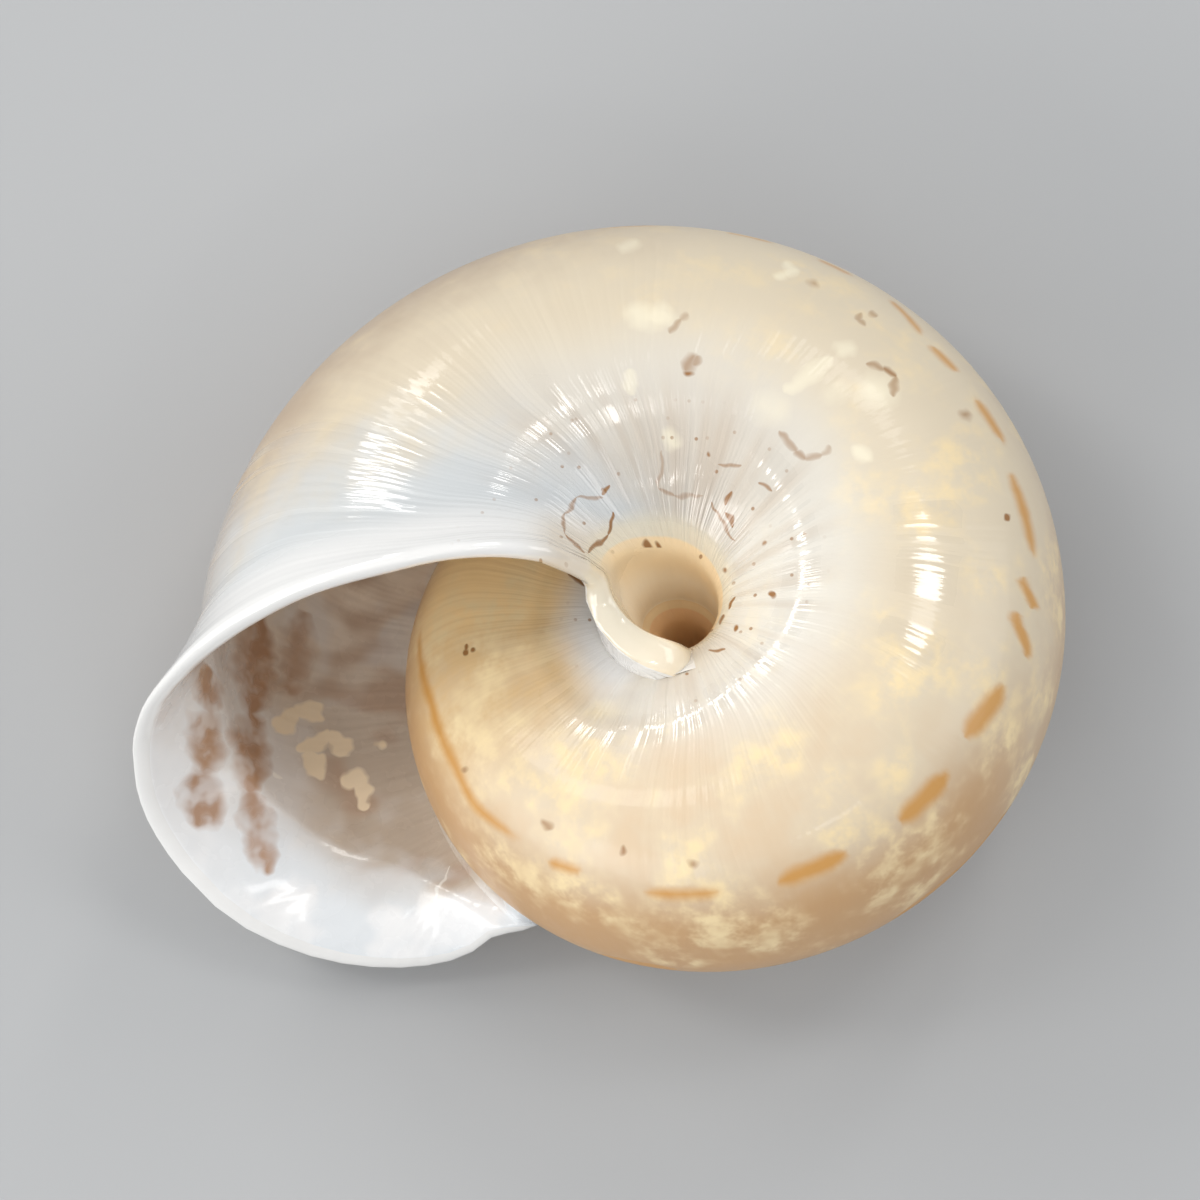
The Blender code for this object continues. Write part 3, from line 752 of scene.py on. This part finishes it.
# The spire's side has rows of beads that follow the seam
BEAD_ROWS = ((1.5, 0.42, 0.5), (4.6, 0.3, 0.54), (8.3, 0.36, 0.52))  # place, half width, share left bare
beads = None
for row, half, threshold in BEAD_ROWS:
    off_row = reckon(tree, "SUBTRACT", reckon(tree, "MULTIPLY_ADD", fleck, 0.7, place), row + 0.35)
    fall = product(tree, off_row, off_row, -0.09 / half**2)
    bead = flat_clouds(tree, reckon(tree, "MULTIPLY_ADD", growth, 0.075, row), row, 0.0)
    bead = reckon(tree, "ADD", bead, fall)
    bead = between(tree, bead, threshold, threshold + 0.05)
    beads = bead if beads is None else reckon(tree, "MAXIMUM", beads, bead)
beads = product(tree, beads, between(tree, to_lip, 2.0, 4.5, 0.0, 0.85))
ground = blend(tree, beads, ground, DASH)

# White callus at the column and the edge of the lip, and the tan wall inside the navel
callus = between(tree, reckon(tree, "MULTIPLY_ADD", mottle, 1.2, place), 22.6, 25.2)
callus = product(tree, callus, between(tree, growth, -290.0, -310.0))
edge = reckon(tree, "MAXIMUM", callus, between(tree, to_lip, 0.7, 2.2, 1.0, 0.0))
ground = blend(tree, edge, ground, MILK)
ground = blend(tree, product(tree, edge, between(tree, place, 24.5, 26.5)), ground, FOLD_BEIGE)
ring = between(tree, place, RIM - 1.3, RIM - 0.4)
ring = product(tree, ring, between(tree, growth, -290.0, -270.0), 0.7)
ground = blend(tree, ring, ground, RING_CREAM)
hole = between(tree, place, RIM - 0.05, RIM + 0.1)
hole = product(tree, hole, between(tree, growth, 10.0, -22.0))
ground = blend(tree, hole, ground, TAN)
# Painted light: the deepest wall of the navel is brightened to pale cream, lighter than its own tan, standing
# in for light that comes through the thin walls into the hole
ground = blend(tree, between(tree, place, 29.8, 31.5), ground, DEEP_CREAM_PAINTED_LIGHT)
below = product(tree, between(tree, growth, -345.0, -352.0), between(tree, place, 26.6, 27.2))
ground = blend(tree, below, ground, TAN)
below = product(tree, below, between(tree, place, 28.1, 28.25))
ground = blend(tree, below, ground, LEDGE)

# Pale chips, and dirt in scratches and specks, mostly round the navel
ragged = seen_from_above(tree, where, 0.26, 2.0)
pale = product(tree, strokes(tree, ragged, PALE_MARKS), 0.65)
pale = product(tree, pale, between(tree, place, 12.0, 13.5))
ground = blend(tree, pale, ground, CHIP_WHITE)
scatter = {"Vector": where, "Scale": 1.9, "Randomness": 1.0}
dots = put(tree, "TexVoronoi", {"voronoi_dimensions": "2D"}, scatter)
dot = between(tree, dots.outputs["Distance"], 0.07, 0.13, 0.8, 0.0)
dot = product(tree, dot, between(tree, dots.outputs["Color"], 0.62, 0.7))
dot = product(tree, dot, between(tree, place, 22.5, 25.0, 0.0, 1.0))
dirt = product(tree, dot, between(tree, fleck, 0.42, 0.56, 0.35, 1.0))
dirt = reckon(tree, "MAXIMUM", dirt, strokes(tree, ragged, SCRATCHES + SPECKS))
dirt = product(tree, dirt, between(tree, place, 12.0, 13.5))
dirt = product(tree, dirt, between(tree, place, RIM + 0.6, RIM + 0.5))
ground = blend(tree, dirt, ground, DIRT)

surface = tree.nodes["Principled BSDF"]
tree.links.new(ground, surface.inputs["Base Color"])
surface.inputs["IOR"].default_value = 1.5
surface.inputs["Coat Roughness"].default_value = 0.05
surface.inputs["Coat IOR"].default_value = 1.65

# Polish: on the crest round the navel, by the lip and on the widest part of the base
crest_at = between(tree, growth, -310.0, -225.0, 21.6, 24.2)
from_crest = reckon(tree, "SUBTRACT", place, crest_at)
crest = reckon(tree, "EXPONENT", product(tree, from_crest, from_crest, -3.0))
crest = product(tree, crest, between(tree, growth, -110.0, -140.0))
polished = between(tree, reckon(tree, "ABSOLUTE", from_crest), 0.5, 1.1, 1.0, 0.0)
polished = product(tree, polished, between(tree, growth, -115.0, -140.0))
polished = product(tree, polished, between(tree, growth, -334.0, -322.0))
polished = product(tree, polished, between(tree, lines["Ribs"], 0.54, 0.64))
broadest = product(tree, between(tree, place, 17.3, 18.5), between(tree, place, 21.0, 20.0))
broadest = product(tree, broadest, between(tree, growth, -216.0, -202.0))
broadest = product(tree, broadest, between(tree, growth, -160.0, -172.0))
broadest = reckon(tree, "MAXIMUM", broadest, between(tree, to_lip, 8.5, 6.0))
broadest = product(tree, broadest, between(tree, lines["Fine Lines"], 1.18, 1.34, 0.15, 1.0))
broadest = product(tree, broadest, between(tree, place, RIM - 0.3, RIM - 1.0))
polished = reckon(tree, "MAXIMUM", polished, broadest)
polished = reckon(tree, "MAXIMUM", polished, between(tree, to_lip, 2.0, 1.0))
tree.links.new(reckon(tree, "MULTIPLY_ADD", polished, 0.8, 0.15), surface.inputs["Coat Weight"])
roughness = reckon(tree, "MULTIPLY_ADD", polished, -0.3, between(tree, fleck, 0.3, 0.7, 0.38, 0.48))
tree.links.new(roughness, surface.inputs["Roughness"])
ribbed = between(tree, growth, -320.0, -260.0, 0.12, 0.2)
ribbed = reckon(tree, "ADD", ribbed, between(tree, to_lip, 9.0, 4.0, 0.0, 0.2))
height = product(tree, lines["Fine Lines"], ribbed)
round_navel = between(tree, from_crest, -1.6, -0.8)
round_navel = product(tree, round_navel, between(tree, growth, -338.0, -305.0))
height = reckon(tree, "MULTIPLY_ADD", product(tree, lines["Ribs"], round_navel), 0.36, height)
height = product(tree, height, between(tree, place, RIM - 0.4, RIM + 0.6, 1.0, 0.1))
height = reckon(tree, "MULTIPLY_ADD", crest, 0.7, height)
relief = put(tree, "Bump", None, {"Height": height, "Distance": 0.00007, "Strength": 1.0})
tree.links.new(relief.outputs[0], surface.inputs["Normal"])
tree.links.new(relief.outputs[0], surface.inputs["Coat Normal"])
mesh.materials.append(skin)


# The lining of the mouth
# The inside is the smooth innermost layer: white and pearly behind the lip, thin and grey-brown deeper in,
# where the skin shows through, with brown streaks of old lips and a few flakes of dried slime.

PEARL = (0.90, 0.905, 0.91)
PALE_BLUE = (0.66, 0.72, 0.77)
MAUVE = (0.78, 0.76, 0.74)
BROWN_GREY = (0.79, 0.70, 0.60)
UMBER = (0.49, 0.41, 0.33)
RED_BROWN = (0.49, 0.34, 0.245)
# painted light for the lining under the top of the mouth
PEACH_PAINTED_LIGHT = (0.95, 0.81, 0.66)
FLAKE = (0.95, 0.80, 0.58)
STREAK_BROWN = (0.45, 0.27, 0.17)
CHALK = (0.90, 0.88, 0.83)
STREAKS = (  # given as the scratches are, and so are the flakes and the chalk marks
    (-11.94, -1.9, -11.95, -3.1, 0.12, 0.3, 1), (-11.95, -3.1, -12.2, -4.8, 0.2, 0.45, 0.9),
    (-12.2, -4.8, -12.27, -6.2, 0.28, 0.5, 1), (-10.5, 0.4, -10.78, -2.6, 0.22, 0.5, 1),
    (-10.78, -2.6, -10.85, -5.2, 0.2, 0.45, 1), (-10.85, -5.2, -10.45, -7.6, 0.16, 0.45, 0.9),
    (-9.2, 0.9, -9.6, -1.7, 0.15, 0.5, 0.7), (-11.15, -3.6, -10.95, -5.6, 0.05, 0.3, 0.5),
)
FLAKES = (
    (-9.98, -3.05, -9.55, -2.4, 0.26, 0.12, 1), (-9.5, -2.45, -8.7, -2.3, 0.27, 0.12, 1),
    (-9.3, -3.6, -8.5, -3.15, 0.25, 0.12, 1), (-8.35, -3.15, -7.95, -3.65, 0.29, 0.12, 1),
    (-9.0, -3.75, -8.85, -4.5, 0.24, 0.12, 1), (-8.05, -4.6, -7.45, -4.55, 0.31, 0.12, 1),
    (-7.5, -4.6, -7.35, -5.45, 0.18, 0.12, 1), (-7.02, -3.3, -6.8, -3.5, 0.09, 0.12, 0.9),
)
CHALK_MARKS = ((-10.2, -4.4, -9.85, -4.6, 0.07, 0.05, 1), (-5.5, -8.9, -4.8, -7.6, 0.02, 0.05, 0.7))
lining_finish = bpy.data.materials.new("pearly lining")
lining_finish.use_nodes = True
tree = lining_finish.node_tree
growth, place, to_lip = carried(tree, "growth"), carried(tree, "place"), carried(tree, "to_lip")
where = in_millimetres(tree)
lines = use_group(tree, growth_lines, {"Growth": growth, "Place": place})
mottle = clouds(tree, where, 0.42, 2.0)
fleck = clouds(tree, where, 1.1, 2.0)
bands = flat_clouds(tree, product(tree, growth, 0.07), product(tree, place, 0.22), 2.0)
depth = reckon(tree, "MULTIPLY_ADD", bands, 2.0, to_lip)
ground = blend(tree, between(tree, depth, 1.7, 2.9), PEARL, MAUVE)
low = reckon(tree, "MULTIPLY_ADD", reckon(tree, "ADD", bands, mottle), 1.8, place)
low = between(tree, low, 7.4, 5.2)
low = product(tree, low, between(tree, reckon(tree, "ADD", depth, mottle), 2.3, 3.8))
deep = reckon(tree, "MAXIMUM", low, between(tree, depth, 5.0, 8.0))
ground = blend(tree, deep, ground, BROWN_GREY)
# Painted light: the lining under the top of the mouth, where the lip shades it, is brightened to peach
ground = blend(tree, between(tree, growth, -5.0, -25.0, 0.0, 0.8), ground, PEACH_PAINTED_LIGHT)
for tint, mask in (
    (UMBER, between(tree, growth, -14.0, 14.0, 0.0, 0.75)),
    (RED_BROWN, between(tree, bands, 0.5, 0.66, 0.0, 0.7)),
    (MAUVE, between(tree, mottle, 0.5, 0.66, 0.0, 0.55)),
):
    ground = blend(tree, product(tree, mask, deep), ground, tint)
bluish = product(tree, between(tree, mottle, 0.46, 0.6), between(tree, to_lip, 3.2, 1.0, 0.0, 0.5))
ground = blend(tree, product(tree, bluish, between(tree, place, 9.0, 5.0)), ground, PALE_BLUE)
ragged = seen_from_above(tree, where, 0.45, 1.8)
top_side = between(tree, place, 13.0, 11.5)
streaks = product(tree, strokes(tree, ragged, STREAKS), between(tree, fleck, 0.35, 0.6, 0.5, 1.0))
ground = blend(tree, product(tree, streaks, top_side), ground, STREAK_BROWN)
flakes = product(tree, strokes(tree, ragged, FLAKES), top_side)
ground = blend(tree, product(tree, flakes, 0.9), ground, FLAKE)
chalk = strokes(tree, ragged, CHALK_MARKS)
ground = blend(tree, product(tree, chalk, top_side), ground, CHALK)
column = between(tree, place, RIM - 1.5, RIM + 0.5)
ground = blend(tree, column, ground, MILK)

surface = tree.nodes["Principled BSDF"]
tree.links.new(ground, surface.inputs["Base Color"])
surface.inputs["IOR"].default_value = 1.5
surface.inputs["Coat Roughness"].default_value = 0.08
roughness = reckon(tree, "MULTIPLY_ADD", flakes, 0.35, between(tree, fleck, 0.3, 0.7, 0.2, 0.32))
tree.links.new(roughness, surface.inputs["Roughness"])
tree.links.new(reckon(tree, "MULTIPLY_ADD", flakes, -0.6, 0.7), surface.inputs["Coat Weight"])
height = reckon(tree, "MULTIPLY_ADD", mottle, 1.0, product(tree, lines["Fine Lines"], 0.3))
relief = put(tree, "Bump", None, {"Height": height, "Distance": 0.00006, "Strength": 1.0})
tree.links.new(relief.outputs[0], surface.inputs["Normal"])
tree.links.new(relief.outputs[0], surface.inputs["Coat Normal"])
mesh.materials.append(lining_finish)

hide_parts("shell")
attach(shell, "root")


# Floor
# A plain pale studio floor, which the shell lies on.

floor_mesh = bpy.data.meshes.new("floor")
FLOOR_HALF = 3.0
FLOOR_GREY = (0.44, 0.45, 0.46, 1)
floor_corners = [(x * FLOOR_HALF, y * FLOOR_HALF, 0) for x, y in ((-1, -1), (1, -1), (1, 1), (-1, 1))]
floor_mesh.from_pydata(floor_corners, [], [(0, 1, 2, 3)])
floor = bpy.data.objects.new("floor", floor_mesh)
bpy.context.scene.collection.objects.link(floor)
floor_finish = bpy.data.materials.new("pale floor")
floor_finish.use_nodes = True
surface = floor_finish.node_tree.nodes["Principled BSDF"]
surface.inputs["Base Color"].default_value = FLOOR_GREY
surface.inputs["Roughness"].default_value = 0.9
floor_mesh.materials.append(floor_finish)


# Light
# Large soft lamps round the shell and over it, as windows and a ceiling would be, some narrow ones that draw
# the bright strokes on its polished skin, and a pale sky.

LAMPS = (  # azimuth and elevation in degrees, size across and up and distance in metres, brightness, colour
    (-108, 62, 0.45, 0.45, 0.5, 0.193, (1.0, 0.99, 0.97)),
    (-160, 22, 0.45, 0.30, 0.5, 0.813, (1.0, 0.98, 0.95)),
    (-128, 30, 0.30, 0.20, 0.5, 0.514, (1.0, 0.98, 0.95)),
    (0, 28, 0.40, 0.30, 0.5, 0.589, (1.0, 0.98, 0.95)),
    (165, 56, 0.09, 0.18, 0.5, 0.321, (1.0, 0.98, 0.95)),
    (146, 42, 0.20, 0.07, 0.5, 0.3, (1.0, 0.98, 0.95)),
    (120, 35, 0.20, 0.08, 0.5, 0.3, (1.0, 0.98, 0.95)),
    (110, 22, 0.12, 0.05, 0.5, 0.086, (1.0, 0.98, 0.95)),
    (66, 46, 0.07, 0.12, 0.5, 0.171, (1.0, 0.98, 0.95)),
    (43, 66, 0.10, 0.12, 0.5, 0.214, (1.0, 0.98, 0.95)),
    (-68, 50, 0.12, 0.03, 0.5, 0.075, (1.0, 0.98, 0.95)),
)
for number, (azimuth, elevation, across, up, far, brightness, colour) in enumerate(LAMPS):
    azimuth, elevation = np.radians(azimuth), np.radians(elevation)
    level = np.cos(elevation)
    towards = Vector((level * np.cos(azimuth), level * np.sin(azimuth), np.sin(elevation)))
    lamp_data = bpy.data.lights.new(f"lamp_{number}", "AREA")
    lamp_data.shape = "RECTANGLE"
    lamp_data.size = across
    lamp_data.size_y = up
    lamp_data.energy = brightness
    lamp_data.color = colour
    lamp = bpy.data.objects.new(f"lamp_{number}", lamp_data)
    lamp.location = towards * far
    lamp.rotation_euler = towards.to_track_quat("Z", "Y").to_euler()
    bpy.context.scene.collection.objects.link(lamp)

world = bpy.data.worlds.new("studio")
world.use_nodes = True
world.node_tree.nodes["Background"].inputs["Color"].default_value = (0.93, 0.96, 1, 1)
world.node_tree.nodes["Background"].inputs["Strength"].default_value = 0.46
bpy.context.scene.world = world
bpy.context.scene.view_settings.view_transform = "Standard"


# Camera
# At the viewing angle of the photograph, which is square.

CAMERA_AT = (-0.001000, -0.042660, 0.187952)
CAMERA_TURNED = (12.8542, -0.6430, -2.2797)
camera_data = bpy.data.cameras.new("camera")
camera_data.sensor_width = 36
camera_data.lens = 183.724
camera_data.shift_x = -0.073458
camera_data.shift_y = 0.030126
camera_data.clip_start = 0.01
camera_data.clip_end = 10
camera = bpy.data.objects.new("camera", camera_data)
camera.location = CAMERA_AT
camera.rotation_euler = [np.radians(turned) for turned in CAMERA_TURNED]
bpy.context.scene.collection.objects.link(camera)
bpy.context.scene.camera = camera
